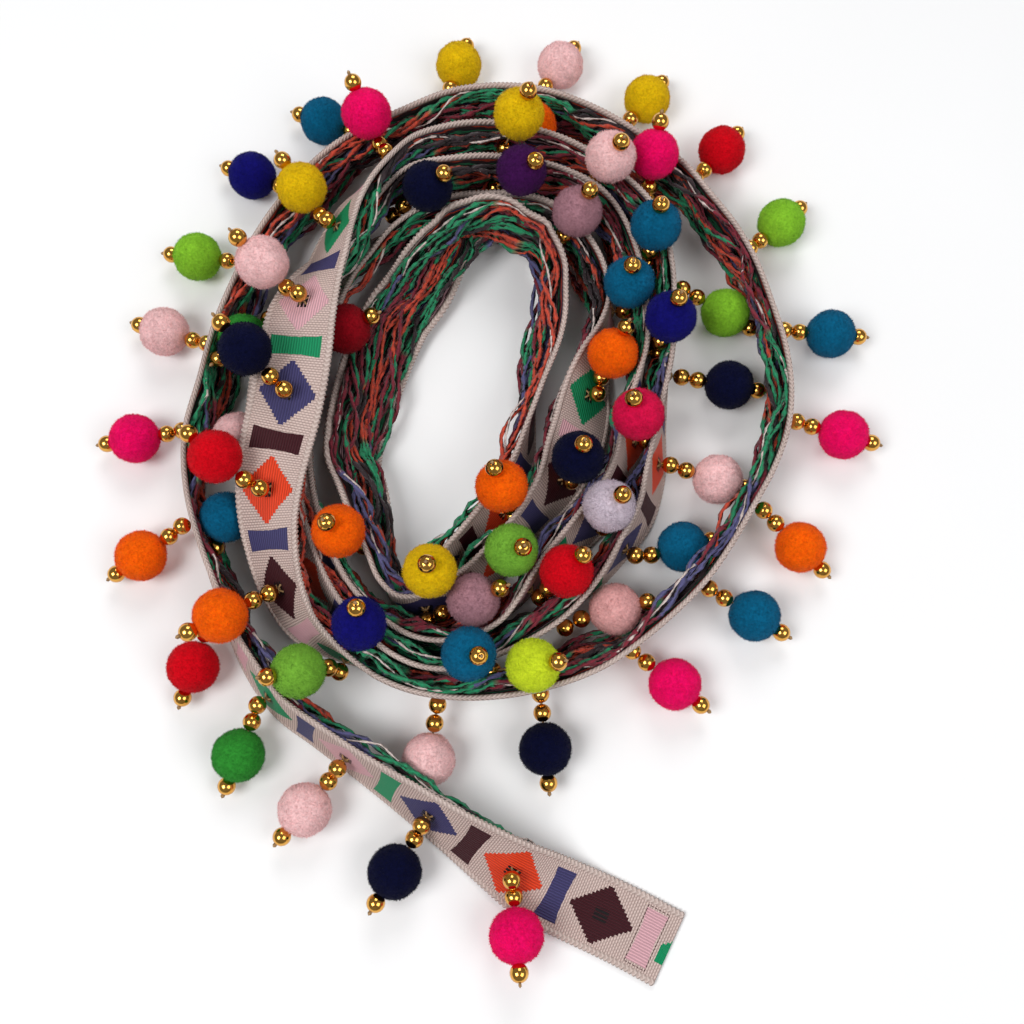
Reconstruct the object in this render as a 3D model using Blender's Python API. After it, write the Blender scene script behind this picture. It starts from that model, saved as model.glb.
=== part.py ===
# A roll of pompom trim, laid down loosely in five turns on its edge, with its outer end flat on the floor.
# The trim is a woven tape with one beaded pompom drop sewn to the middle of each diamond.
# Lengths are in millimetres here and turned into metres as the meshes are made.

import bmesh
import bpy
import math
import numpy as np
from mathutils import Vector
from mathutils.bvhtree import BVHTree

MM = 0.001

TAPE_WIDTH = 20.0
TAPE_THICKNESS = 1.1
TAPE_COLUMNS = 3
PITCH = 25.8
SECTIONS_PER_PITCH = 5
FIRST_DIAMOND = 19.2

BALL_RADIUS = 7.2
BEAD_RADIUS = 2.4
BEAD_HALF_LENGTH = 0.52 * BEAD_RADIUS
BEAD_FLAT_RADIUS = 0.76 * BEAD_RADIUS
END_BEAD_SUNK = 0.9
THREAD_RADIUS = 0.55
THREAD_DIMPLE = 0.05
BEAD_DIMPLE = 0.3
BALL_LATITUDES = (-50, -17, 17, 50)

STRIP_WIDTH = 1.2
STRIP_THICKNESS = 0.5
STRIP_GAP = 0.4
STRIP_OVERHANG = 2.0
DROPS_PER_STRIP = 2

# The route of the tape's upper edge, from the outer end inwards. A row holds its place on the floor,
# how far the tape leans (0 upright, -90 flat with its front up, plus with its back up)
# and how high its lower edge is lifted over the floor.
ROUTE_COLUMNS = ("x", "y", "lean", "lift")
OUTER_END = [
    (44.6, -106.1, -90, 0),
    (33.4, -100.4, -90, 0),
    (23.1, -95.7, -88, 0),
    (12.5, -91.2, -76, 0),
    (1.8, -86.8, -55, 0),
    (-11.8, -80.3, -38, 0),
    (-25.3, -73.0, -28, 0),
    (-39.5, -65.1, -20, 0),
    (-49.1, -58.9, -18, 0),
    (-58.9, -51.8, -18, 0),
    (-65.3, -43.7, -18, 0),
    (-70.5, -36.1, -15, 0),
]
FIRST_TURN = [
    (-76.0, -24.8, -12, 0),
    (-81.0, -13.4, -10, 0),
    (-86.1, 2.7, -5, 0),
    (-87.5, 17.1, 0, 0),
    (-84.5, 33.0, 0, 0),
    (-81.4, 48.4, 0, 0),
    (-77.2, 61.1, 0, 0),
    (-71.3, 75.6, 0, 0),
    (-65.5, 85.5, 0, 0),
    (-52.2, 101.9, 0, 0),
    (-31.1, 114.6, 0, 0),
    (-17.0, 120.7, 0, 0),
    (-8.6, 122.1, 0, 0),
    (8.8, 121.1, 0, 0),
    (21.9, 116.1, 0, 0),
    (39.8, 104.5, 0, 0),
    (49.2, 97.0, 0, 0),
    (56.2, 87.5, 0, 0),
    (62.6, 78.2, 0, 0),
    (67.4, 68.3, 0, 0),
    (71.4, 55.5, 0, 0),
    (74.6, 42.0, 0, 0),
    (75.4, 30.0, 0, 0),
    (73.9, 19.0, 0, 0),
    (69.4, 7.5, 0, 0),
    (63.7, -2.5, 2, 0),
    (57.7, -12.5, 5, 0),
    (50.3, -22.8, 10, 0),
    (41.8, -31.4, 15, 0),
    (33.9, -38.1, 20, 0),
    (24.5, -44.6, 24, 0),
    (10.1, -50.2, 21, 0),
    (-3.0, -52.6, 17, 0),
    (-15.1, -52.8, 14, 0),
    (-26.0, -51.0, 12, 0),
    (-36.5, -46.4, 8, 0),
]
SECOND_TURN = [
    (-44.8, -39.8, -8, 2),
    (-50.4, -32.0, -28, 6),
    (-53.4, -22.6, -42, 11),
    (-54.2, -11.8, -56, 17),
    (-53.3, -0.4, -72, 22),
    (-51.7, 8.0, -82, 25),
    (-49.7, 17.0, -88, 27),
    (-47.9, 27.0, -88, 28),
    (-46.8, 36.6, -86, 28),
    (-46.1, 45.2, -78, 26.5),
    (-45.1, 53.5, -65, 23),
    (-43.8, 62.3, -46, 18),
    (-42.3, 71.2, -38, 15.8),
    (-39.2, 80.8, -30, 15.8),
    (-33.5, 90.8, -16, 14),
    (-27.4, 98.4, -6, 11.5),
    (-18.2, 102.8, 0, 10),
    (-6.5, 104.6, 0, 9),
    (5.5, 103.6, 0, 7.5),
    (17.2, 100.1, 0, 6),
    (30.0, 91.8, 0, 4.5),
    (38.0, 84.5, 0, 3),
    (42.1, 76.5, 0, 2),
    (44.3, 66.0, 0, 1),
    (44.6, 54.0, 0, 0),
    (43.6, 40.5, -2, 0),
    (39.9, 25.3, -10, 0),
    (35.6, 8.3, -20, 0),
    (33.4, -1.0, -18, 0),
    (28.1, -12.0, -10, 0),
    (21.8, -22.9, 0, 0),
    (15.1, -31.0, 12, 0),
    (9.1, -35.6, 16, 0),
    (-0.1, -40.6, 17, 0),
    (-8.0, -43.8, 15, 0),
    (-16.0, -45.6, 12, 0),
    (-23.0, -45.0, 10, 0),
    (-31.0, -41.5, 5, 0),
    (-39.0, -34.5, 0, 0),
]
THIRD_TURN = [
    (-45.6, -25.5, -18, 1.5),
    (-50.8, -14.5, -38, 4),
    (-54.6, -3.0, -55, 6),
    (-56.2, 8.0, -62, 7),
    (-56.4, 20.0, -64, 7.5),
    (-56.0, 32.0, -64, 7.5),
    (-55.0, 44.0, -62, 7.5),
    (-53.0, 55.0, -55, 7),
    (-47.6, 64.2, -46, 6),
    (-43.4, 73.0, -33, 5),
    (-39.2, 80.4, -25, 5.5),
    (-34.6, 86.0, -18, 6.5),
    (-28.2, 91.2, -10, 8),
    (-16.6, 94.2, 0, 8),
    (-5.0, 95.4, 0, 7),
    (6.7, 94.4, 0, 6),
    (16.5, 91.6, 0, 5),
    (24.4, 87.4, 0, 4),
    (29.5, 81.5, 0, 3),
    (33.0, 74.5, 0, 2),
    (35.6, 65.5, 0, 1),
    (36.9, 55.0, 0, 0),
    (36.8, 43.5, -2, 0),
    (33.7, 33.4, -12, 0),
    (30.4, 25.6, -22, 0),
    (28.9, 18.0, -26, 0),
    (27.0, 11.0, -27, 0),
    (23.3, 3.5, -25, 0),
    (18.5, -2.8, -22, 0),
    (13.8, -8.8, -18, 0),
    (9.3, -14.6, -12, 0),
    (5.2, -21.0, -5, 0),
    (1.6, -27.4, 2, 0),
    (-2.6, -33.0, 8, 0),
    (-8.6, -36.6, 14, 0),
    (-17.0, -38.4, 14, 0),
    (-26.0, -37.0, 10, 0),
    (-33.6, -32.2, 0, 0),
]
FOURTH_TURN = [
    (-40.6, -24.6, -14, 0),
    (-46.2, -14.6, -32, 0),
    (-51.0, -3.5, -50, 0),
    (-54.0, 8.0, -60, 0),
    (-54.8, 20.0, -62, 0),
    (-54.2, 32.0, -62, 0),
    (-52.8, 44.0, -62, 0),
    (-49.4, 54.0, -58, 0),
    (-45.0, 63.4, -50, 0),
    (-38.8, 70.8, -36, 0),
    (-33.4, 77.0, -24, 0.5),
    (-26.8, 82.2, -10, 0.5),
    (-19.0, 86.6, 6, 0),
    (-8.0, 88.6, 18, 0),
    (3.0, 88.4, 20, 0),
    (11.4, 85.4, 17, 0),
    (17.9, 79.6, 12, 0),
    (22.8, 72.6, 5, 0),
    (26.0, 64.0, 0, 0),
    (26.4, 56.0, -8, 0),
    (23.6, 49.0, -18, 0),
    (19.0, 42.8, -30, 0.5),
    (15.2, 36.0, -42, 1.5),
    (12.7, 28.6, -50, 2.5),
    (10.8, 21.8, -52, 3),
    (8.9, 15.4, -48, 3),
    (7.6, 9.6, -40, 2.5),
    (5.7, 3.9, -30, 2),
    (3.2, -1.0, -22, 1),
    (0.4, -5.3, -18, 0.5),
    (-2.9, -9.4, -18, 0),
    (-7.5, -14.2, -20, 0),
    (-12.6, -18.9, -25, 0),
    (-17.9, -22.8, -20, 0),
    (-24.0, -26.2, -12, 0),
    (-29.8, -26.4, -5, 0),
    (-34.4, -22.4, 2, 0),
]
INNER_TURN = [
    (-38.2, -15.4, 15, 0),
    (-42.6, -6.6, 28, 0),
    (-46.8, 3.2, 38, 0),
    (-50.6, 12.0, 43, 0),
    (-50.9, 20.0, 47, 0),
    (-50.3, 27.5, 53, 0),
    (-49.2, 35.0, 59, 0.5),
    (-47.6, 42.5, 65, 1.5),
    (-45.0, 51.0, 70, 2.5),
    (-40.6, 61.0, 72, 3),
    (-34.2, 68.8, 66, 3),
    (-28.4, 74.6, 50, 3),
    (-22.6, 79.0, 34, 3.5),
    (-17.2, 82.2, 20, 4.5),
    (-12.0, 83.0, 10, 5.3),
    (-6.3, 83.8, 7, 6),
    (-0.6, 82.7, 8, 6),
    (4.5, 79.4, 10, 5.3),
    (9.2, 77.1, 14, 4.6),
    (12.5, 72.2, 18, 4),
    (14.8, 66.0, 20, 3),
    (15.2, 58.7, 22, 2),
    (14.9, 51.5, 22, 1),
    (12.8, 42.5, 18, 0),
    (8.6, 32.1, 8, 0),
    (4.2, 21.0, -6, 0),
    (0.3, 11.6, -18, 0),
    (-3.8, 4.9, -28, 0),
    (-8.4, -1.6, -30, 0),
    (-13.1, -7.6, -26, 0),
    (-17.8, -13.3, -16, 0),
    (-22.0, -18.6, -4, 0),
    (-25.8, -20.6, 2, 0),
    (-30.2, -20.9, 5, 0),
]
ROUTE = OUTER_END + FIRST_TURN + SECOND_TURN + THIRD_TURN + FOURTH_TURN + INNER_TURN

# Where each drop points from the tape, from the outer end inwards: the heading in plan
# (0 to the right, 90 to the back, in degrees) and the climb over the floor.
# A diamond with None is pressed flat between two turns, with no room for a drop.
DROP_COLUMNS = ("heading", "climb")
FIRST_TURN_DROPS = [
    (-85, 25),
    (-121, 15),
    (-130, 10),
    (-112, 0),
    (-110, 0),
    (-147, 0),
    (-174, 0),
    (160, 0),
    (168, 0),
    (155, 0),
    (155, 0),
    (75, 0),
    (60, 0),
    (55, 0),
    (52, 0),
    (43, 0),
    (0, 0),
    (-12, 0),
    (-44, 0),
    (-30, 0),
    (-38, 0),
    (-85, 0),
    (-99, 0),
    (-165, 40),
]
SECOND_TURN_DROPS = [
    (-147, 25),
    (142, 20),
    (135, 25),
    (142, 40),
    (127, 25),
    (119, 40),
    None,
    (150, 20),
    (80, 40),
    (-25, -10),
    (-5, -5),
    (-13, -5),
    (10, -5),
    (12, 15),
    (10, 45),
]
THIRD_TURN_DROPS = [
    (88, 60),
    None,
    (-115, 10),
    (-115, 10),
    (-140, 5),
    None,
    None,
    (77, 50),
    (50, 60),
    (80, 45),
    (38, 60),
    (0, 65),
    (-5, 35),
    (20, 20),
    (34, 60),
]
FOURTH_TURN_DROPS = [
    None,
    None,
    None,
    (20, 15),
    None,
    (45, 65),
    (45, 70),
    None,
    (105, 55),
    (60, 45),
    (60, 80),
    (-20, 55),
    (19, 10),
    (-170, 60),
]
INNER_TURN_DROPS = [
    None,
    None,
    None,
    None,
    (60, 45),
    None,
    None,
    (115, 35),
    (140, 60),
]
DROPS = FIRST_TURN_DROPS + SECOND_TURN_DROPS + THIRD_TURN_DROPS + FOURTH_TURN_DROPS + INNER_TURN_DROPS

# Places along a drop, measured from one bead or ball centre to the next.
FIRST_BEAD_OUT = 3.8
BEAD_TO_BEAD = 4.9
BEAD_TO_BALL = 9.3
BALL_TO_END = BALL_RADIUS + BEAD_RADIUS - END_BEAD_SUNK
JOINS = np.array([[0.5, 0.5], [0.75, 0.25]])

ROUTE_STEP = 0.5
CLEARANCE = 0.4
THREAD_BULK = 1.3
AIMED_ROUNDS = 80
FALLING_ROUNDS = 120
RESTING_ROUNDS = 160
LOOSE_ROUNDS = 12
LINK_REPEATS = 4
AIM_PULL = 0.06
FALL = 0.06
STARTS_AS_AIMED = math.radians(15.5)
END_BEAD_PLAY = 0.4
END_BEAD_TILTS = (12.0, 24.0)


def smooth_route():
    # A cubic curve through the rows, with a row for every ROUTE_STEP along the floor.
    rows = np.array(ROUTE, dtype=float)
    knots = np.concatenate([[0.0], np.cumsum(np.linalg.norm(np.diff(rows[:, :2], axis=0), axis=1))])
    slopes = np.gradient(rows, knots, axis=0)
    places = np.arange(0.0, knots[-1], ROUTE_STEP)
    row = np.clip(np.searchsorted(knots, places, side="right") - 1, 0, len(knots) - 2)
    span = (knots[row + 1] - knots[row])[:, None]
    u = (places[:, None] - knots[row][:, None]) / span
    start = rows[row] * (1 + 2 * u) * (1 - u) ** 2 + rows[row + 1] * u**2 * (3 - 2 * u)
    bend = slopes[row] * span * u * (1 - u) ** 2 - slopes[row + 1] * span * u**2 * (1 - u)
    return start + bend


def unit(vectors):
    return vectors / np.linalg.norm(vectors, axis=-1, keepdims=True)


def tape_frames():
    # The middle line of the tape, its run, the way across it to the lower edge, and its front.
    curve = dict(zip(ROUTE_COLUMNS, smooth_route().T))
    lean = np.radians(np.clip(curve["lean"], -90.0, 90.0))
    lift = np.maximum(curve["lift"], 0.0)
    edge = np.column_stack([curve["x"], curve["y"]])
    plan_run = unit(np.gradient(edge, axis=0))
    inward = np.column_stack([plan_run[:, 1], -plan_run[:, 0], np.zeros(len(edge))])
    down = np.array([0.0, 0.0, -1.0])
    across = np.sin(lean)[:, None] * inward + np.cos(lean)[:, None] * down
    low = lift + np.abs(np.sin(lean)) * TAPE_THICKNESS / 2
    top = np.column_stack([edge, low + TAPE_WIDTH * np.cos(lean)])
    centre = top + across * TAPE_WIDTH / 2
    run = unit(np.gradient(centre, axis=0))
    across = unit(across - np.sum(across * run, axis=1)[:, None] * run)
    return centre, run, across


def place_stations(centre, run, across):
    # Sections at equal lengths of tape, so that every diamond has one through its middle.
    lengths = np.concatenate([[0.0], np.cumsum(np.linalg.norm(np.diff(centre, axis=0), axis=1))])
    step = PITCH / SECTIONS_PER_PITCH
    first = FIRST_DIAMOND % step
    places = np.concatenate([[0.0], np.arange(first, lengths[-1], step)])

    def at(values):
        return np.column_stack([np.interp(places, lengths, values[:, i]) for i in range(3)])

    centres = at(centre)
    ways = unit(at(across))
    runs = unit(at(run))
    return places, centres, ways, unit(np.cross(runs, ways))


def drop_station(number):
    # The station through the middle of a drop's diamond. The first diamond has no drop.
    return 1 + int(FIRST_DIAMOND // (PITCH / SECTIONS_PER_PITCH)) + SECTIONS_PER_PITCH * (number + 1)


def settle_drops(roots, ways, fronts, aims, surface):
    # Each drop starts out along the tape, or as it is aimed where it points well down. It turns to its
    # aim, sinks until it rests on tape, floor or its neighbours, and ends clear of all of them.
    # A row of the result holds the two beads, the ball and the end bead.
    count = len(roots)
    angles = dict(zip(DROP_COLUMNS, np.radians(np.array(aims, dtype=float)).T))
    heading, climb = angles["heading"], angles["climb"]
    aim = np.column_stack([np.cos(heading) * np.cos(climb), np.sin(heading) * np.cos(climb), np.sin(climb)])
    reach = np.cumsum([0.0, BEAD_TO_BEAD, BEAD_TO_BALL, BALL_TO_END])
    first = roots + fronts * FIRST_BEAD_OUT
    aimed = first[:, None, :] + reach[None, :, None] * aim[:, None, :]
    start = np.where(climb[:, None] < STARTS_AS_AIMED, aim, -ways)
    points = first[:, None, :] + reach[None, :, None] * start[:, None, :]
    radii = np.tile([BEAD_RADIUS, BEAD_RADIUS, BALL_RADIUS, BEAD_RADIUS], count)
    owner = np.repeat(np.arange(count), 4)
    least = radii[:, None] + radii[None, :] + CLEARANCE
    strangers = np.triu(owner[:, None] != owner[None, :], 1)
    links = [(0, 1, BEAD_TO_BEAD), (1, 2, BEAD_TO_BALL), (2, 3, BALL_TO_END)]
    links.append((1, 3, BEAD_TO_BALL + BALL_TO_END))
    moving = AIMED_ROUNDS + FALLING_ROUNDS
    rounds = moving + RESTING_ROUNDS + LOOSE_ROUNDS
    for turn in range(rounds):
        if turn < moving:
            pull = AIM_PULL * (aimed - points)
            if turn >= AIMED_ROUNDS:
                pull[:, :, 2] = -FALL
            points += pull
        for repeat in range(LINK_REPEATS if turn < rounds - LOOSE_ROUNDS else 0):
            for a, b, length in links:
                way = points[:, b] - points[:, a]
                far = np.linalg.norm(way, axis=1, keepdims=True)
                step = way / far * (far - length) / 2
                points[:, b] -= step
                points[:, a] += step
            points[:, 0] = first
        flat = points.reshape(-1, 3)
        gaps = np.linalg.norm(flat[:, None, :] - flat[None, :, :], axis=2)
        for a, b in np.argwhere(strangers & (gaps < least)):
            push = (flat[a] - flat[b]) / gaps[a, b] * (least[a, b] - gaps[a, b]) / 2
            flat[a] += push
            flat[b] -= push
        for i in range(len(flat)):
            if i % 4 == 0:
                continue
            if i % 4 < 3:
                clear_tape(flat, [i - 1, i], JOINS[i % 4 - 1], THREAD_BULK, surface)
            clear_tape(flat, [i], np.ones(1), radii[i], surface)
        flat[:, 2] = np.maximum(flat[:, 2], radii)
        points = flat.reshape(count, 4, 3)
        points[:, 0] = first
    seat_end_beads(points, surface)
    return points


def seat_end_beads(points, surface):
    # Puts an end bead that was pushed into its ball back beyond it. One that has no room there stays in
    # the ball's middle, which marks a drop without an end bead.
    for i, (first, second, ball, end) in enumerate(points):
        if np.linalg.norm(end - ball) > BALL_TO_END - END_BEAD_PLAY:
            continue
        run = unit(ball - second)
        side = unit(np.cross(run, (1.0, 0.0, 0.0)))
        places = [ball + run * BALL_TO_END]
        for tilt in END_BEAD_TILTS:
            for way in ring(np.zeros(3), run, math.sin(math.radians(tilt)), 8, side):
                places.append(ball + BALL_TO_END * (way + run * math.cos(math.radians(tilt))))
        points[i, 3] = ball
        free = [place for place in places if has_room(place, i, points, surface)]
        if free:
            points[i, 3] = free[0]


def has_room(place, own, points, surface):
    # Whether an end bead at this place is clear of the floor, of the tape and of every other drop.
    reach = BEAD_RADIUS + CLEARANCE
    if place[2] < BEAD_RADIUS or surface.find_nearest(Vector(place))[3] < reach + TAPE_THICKNESS / 2:
        return False
    others = np.delete(points, own, axis=0)
    radii = np.array([BEAD_RADIUS, BEAD_RADIUS, BALL_RADIUS, BEAD_RADIUS])
    threads = (others[:, 1] + others[:, 2]) / 2
    gaps = np.linalg.norm(others - place, axis=2) - radii
    return min(gaps.min(), np.linalg.norm(threads - place, axis=1).min() - THREAD_BULK) > reach


def clear_tape(flat, ends, shares, radius, surface):
    # Moves a bead or a ball, or two of them by the thread between, clear of every turn of tape.
    need = radius + TAPE_THICKNESS / 2 + CLEARANCE
    place = shares @ flat[ends]
    for nearest, normal, face, gap in surface.find_nearest_range(Vector(place), need):
        away = place - np.array(nearest)
        near = np.linalg.norm(away)
        if 0.0 < near < need:
            flat[ends] += away / near * (need - near)
            place = shares @ flat[ends]


def ring(centre, way, radius, sides, mark):
    # A ring of points round an axis, its first one turned to the side of the mark.
    side = unit(mark - np.dot(mark, way) * way)
    other = np.cross(way, side)
    turns = [2 * math.pi * i / sides for i in range(sides)]
    return [centre + radius * (math.cos(t) * side + math.sin(t) * other) for t in turns]


def add_ring(verts, faces, before, points):
    # Joins a new ring to the one before it, also where a ring of eight meets one of four.
    start = len(verts)
    verts.extend(points)
    after = list(range(start, start + len(points)))
    small, large = (before, after) if len(before) <= len(after) else (after, before)
    outward = small is before
    for i in range(len(small)):
        a, b = small[i], small[(i + 1) % len(small)]
        if len(small) == len(large):
            rows = [(a, b, large[(i + 1) % len(large)], large[i])]
        else:
            c, d, e = large[2 * i], large[2 * i + 1], large[(2 * i + 2) % len(large)]
            rows = [(a, d, c), (a, b, d), (b, e, d)]
        faces.extend(rows if outward else [tuple(reversed(row)) for row in rows])
    return after


def build_solid(name, verts, faces, material, origin):
    mesh = bpy.data.meshes.new(name)
    mesh.from_pydata([tuple((np.array(v) - origin) * MM) for v in verts], [], faces)
    body = bmesh.new()
    body.from_mesh(mesh)
    bmesh.ops.triangulate(body, faces=body.faces)
    bmesh.ops.recalc_face_normals(body, faces=body.faces)
    body.to_mesh(mesh)
    body.free()
    mesh.materials.append(material)
    solid = bpy.data.objects.new(name, mesh)
    bpy.context.scene.collection.objects.link(solid)
    return solid


def band_section(centre, across, front, width, near, far, columns):
    # The points round a flat band's section, which lies from near to far off the tape's middle.
    row = [centre + across * width * (i / (columns - 1) - 0.5) for i in range(columns)]
    return [point + front * near for point in row] + [point + front * far for point in reversed(row)]


def tape_mesh(centres, ways, fronts):
    half = TAPE_THICKNESS / 2
    sections = [
        band_section(centre, way, front, TAPE_WIDTH, -half, half, TAPE_COLUMNS)
        for centre, way, front in zip(centres, ways, fronts)
    ]
    before = list(range(len(sections[0])))
    verts = list(sections[0])
    faces = [tuple(reversed(before))]
    for section in sections[1:]:
        before = add_ring(verts, faces, before, section)
    faces.append(tuple(before))
    return verts, faces


def strip_rows(stations, places, centres, ways, fronts):
    # Sections of one strip, close beside the root of each drop and at the stations between two drops.
    # Each is marked true if the stretch that ends there holds a root.
    lengths = [(places[stations[0]] - STRIP_OVERHANG, False)]
    for i, station in enumerate(stations):
        lengths += [(places[station] - THREAD_RADIUS, False), (places[station] + THREAD_RADIUS, True)]
        for other in stations[i + 1 : i + 2]:
            lengths += [(place, False) for place in places[station + 1 : other]]
    lengths.append((places[stations[-1]] + STRIP_OVERHANG, False))
    rows = []
    near = TAPE_THICKNESS / 2 + STRIP_GAP
    for length, holds_root in lengths:
        centre, way, front = (
            np.array([np.interp(length, places, values[:, i]) for i in range(3)])
            for values in (centres, ways, fronts)
        )
        section = band_section(centre, unit(way), unit(front), STRIP_WIDTH, near, near + STRIP_THICKNESS, 2)
        rows.append((section, holds_root))
    return rows


def add_drop(verts, faces, base, way, front, chain):
    # One drop: thread, two beads, a ball and the end bead, as one chain of rings on its base.
    first, second, ball, end = chain
    middle = unit(second - first)
    run = unit(ball - second)
    rings = []
    for bead, axis in ((first, unit(front + middle)), (second, unit(middle + run))):
        rings.append((bead - axis * BEAD_HALF_LENGTH, axis, BEAD_FLAT_RADIUS, 4))
        rings.append((bead + axis * BEAD_HALF_LENGTH, axis, BEAD_FLAT_RADIUS, 4))
    rings.insert(2, ((first + second) / 2, middle, THREAD_RADIUS, 4))
    rings.append((ball - run * (BALL_RADIUS - THREAD_DIMPLE), run, THREAD_RADIUS, 4))
    for latitude in BALL_LATITUDES:
        place = math.radians(latitude)
        rings.append((ball + run * math.sin(place) * BALL_RADIUS, run, math.cos(place) * BALL_RADIUS, 8))
    rings.append((ball + run * (BALL_RADIUS - BEAD_DIMPLE), run, 2 * THREAD_RADIUS, 4))
    if np.linalg.norm(end - ball) > BALL_RADIUS:
        last = unit(end - ball)
        rings.append((end - last * BEAD_HALF_LENGTH, last, BEAD_FLAT_RADIUS, 4))
        rings.append((end + last * BEAD_HALF_LENGTH, last, BEAD_FLAT_RADIUS, 4))
    mark = way
    before = base
    for centre, axis, radius, sides in rings:
        mark = unit(mark - np.dot(mark, axis) * axis)
        before = add_ring(verts, faces, before, ring(centre, axis, radius, sides, mark))
    faces.append(tuple(before))


def drops_mesh(own, chains, places, centres, ways, fronts):
    verts, faces = [], []
    stations = [drop_station(i) for i in own]
    rows = strip_rows(stations, places, centres, ways, fronts)
    roots = []
    before = list(range(4))
    verts.extend(rows[0][0])
    faces.append((3, 2, 1, 0))
    for section, holds_root in rows[1:]:
        last = before
        before = add_ring(verts, faces, last, section)
        if holds_root:
            corners = {last[2], last[3], before[2], before[3]}
            roots += [face for face in faces if set(face) == corners]
            faces.remove(roots[-1])
    faces.append(tuple(before))
    for root, station, i in zip(roots, stations, own):
        add_drop(verts, faces, list(root), ways[station], fronts[station], chains[i])
    return verts, faces


def make_material(name, colour, roughness):
    material = bpy.data.materials.new(name)
    material.use_nodes = True
    shader = material.node_tree.nodes["Principled BSDF"]
    shader.inputs["Base Color"].default_value = (*colour, 1.0)
    shader.inputs["Roughness"].default_value = roughness
    return material


def build_all():
    for thing in list(bpy.data.objects):
        bpy.data.objects.remove(thing, do_unlink=True)
    places, centres, ways, fronts = place_stations(*tape_frames())
    count = len(centres)
    half = ways * TAPE_WIDTH / 2
    grid = np.concatenate([centres - half, centres, centres + half])
    cells = [
        (row + i, row + i + 1, row + count + i + 1, row + count + i)
        for row in (0, count)
        for i in range(count - 1)
    ]
    surface = BVHTree.FromPolygons([Vector(v) for v in grid], cells)
    built = [i for i, row in enumerate(DROPS) if row and drop_station(i) < count - 1]
    stations = [drop_station(i) for i in built]
    aims = [DROPS[i] for i in built]
    settled = settle_drops(centres[stations], ways[stations], fronts[stations], aims, surface)
    chains = dict(zip(built, settled))
    solids = {"tape": tape_mesh(centres, ways, fronts)}
    for first in range(0, built[-1] + 1, DROPS_PER_STRIP):
        own = [i for i in range(first, first + DROPS_PER_STRIP) if i in chains]
        if own:
            name = "drops_%02d" % (first // DROPS_PER_STRIP + 1)
            solids[name] = drops_mesh(own, chains, places, centres, ways, fronts)
    every = np.array([v for verts, faces in solids.values() for v in verts])
    origin = (every.min(axis=0) + every.max(axis=0)) / 2
    origin[2] = every[:, 2].min()
    woven = make_material("woven_tape", (0.60, 0.50, 0.47), 0.9)
    felt = make_material("felt_pompoms", (0.80, 0.10, 0.30), 1.0)
    for name, (verts, faces) in solids.items():
        build_solid(name, verts, faces, woven if name == "tape" else felt, origin)


build_all()
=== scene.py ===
# A loose roll of woven pompom trim: a patterned tape on its edge in five turns, with beaded felt pompoms.
import math
import random
from functools import partial
from types import SimpleNamespace

import bpy
import numpy as np
from mathutils import Matrix, Vector, noise
from mathutils.bvhtree import BVHTree


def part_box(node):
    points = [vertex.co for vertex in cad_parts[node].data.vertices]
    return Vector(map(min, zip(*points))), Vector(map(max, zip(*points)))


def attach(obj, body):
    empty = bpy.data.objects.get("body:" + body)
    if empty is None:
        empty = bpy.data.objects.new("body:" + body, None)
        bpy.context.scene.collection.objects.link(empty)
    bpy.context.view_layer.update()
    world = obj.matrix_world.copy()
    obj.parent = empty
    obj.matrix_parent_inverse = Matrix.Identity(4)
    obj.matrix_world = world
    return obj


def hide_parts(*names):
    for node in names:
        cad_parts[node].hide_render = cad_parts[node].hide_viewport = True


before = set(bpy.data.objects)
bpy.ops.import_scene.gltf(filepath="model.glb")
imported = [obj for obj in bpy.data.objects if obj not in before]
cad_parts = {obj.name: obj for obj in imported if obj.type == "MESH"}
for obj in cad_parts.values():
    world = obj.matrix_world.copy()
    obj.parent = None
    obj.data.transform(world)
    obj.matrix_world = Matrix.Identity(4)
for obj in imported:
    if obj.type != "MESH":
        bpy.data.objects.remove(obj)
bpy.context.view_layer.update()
bpy.ops.object.select_all(action="DESELECT")
millimetre = 0.001

# The tape's upper edge from the outer end inwards, in mm: x, y, lean and lift of the lower edge.
# A lean or a lift that isn't given is 0.
outerEnd = [
    (44.6, -106.1, -90), (33.4, -100.4, -90), (23.1, -95.7, -88),
    (12.5, -91.2, -76), (1.8, -86.8, -55), (-11.8, -80.3, -38),
    (-25.3, -73.0, -28), (-39.5, -65.1, -20), (-49.1, -58.9, -18),
    (-58.9, -51.8, -18), (-65.3, -43.7, -18), (-70.5, -36.1, -15),
]
firstTurn = [
    (-76.0, -24.8, -12), (-81.0, -13.4, -10), (-86.1, 2.7, -5),
    (-87.5, 17.1), (-84.5, 33.0), (-81.4, 48.4),
    (-77.2, 61.1), (-71.3, 75.6), (-65.5, 85.5),
    (-52.2, 101.9), (-31.1, 114.6), (-17.0, 120.7),
    (-8.6, 122.1), (8.8, 121.1), (21.9, 116.1),
    (39.8, 104.5), (49.2, 97.0), (56.2, 87.5),
    (62.6, 78.2), (67.4, 68.3), (71.4, 55.5),
    (74.6, 42.0), (75.4, 30.0), (73.9, 19.0),
    (69.4, 7.5), (63.7, -2.5, 2), (57.7, -12.5, 5),
    (50.3, -22.8, 10), (41.8, -31.4, 15), (33.9, -38.1, 20),
    (24.5, -44.6, 24), (10.1, -50.2, 21), (-3.0, -52.6, 17),
    (-15.1, -52.8, 14), (-26.0, -51.0, 12), (-36.5, -46.4, 8),
]
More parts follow.
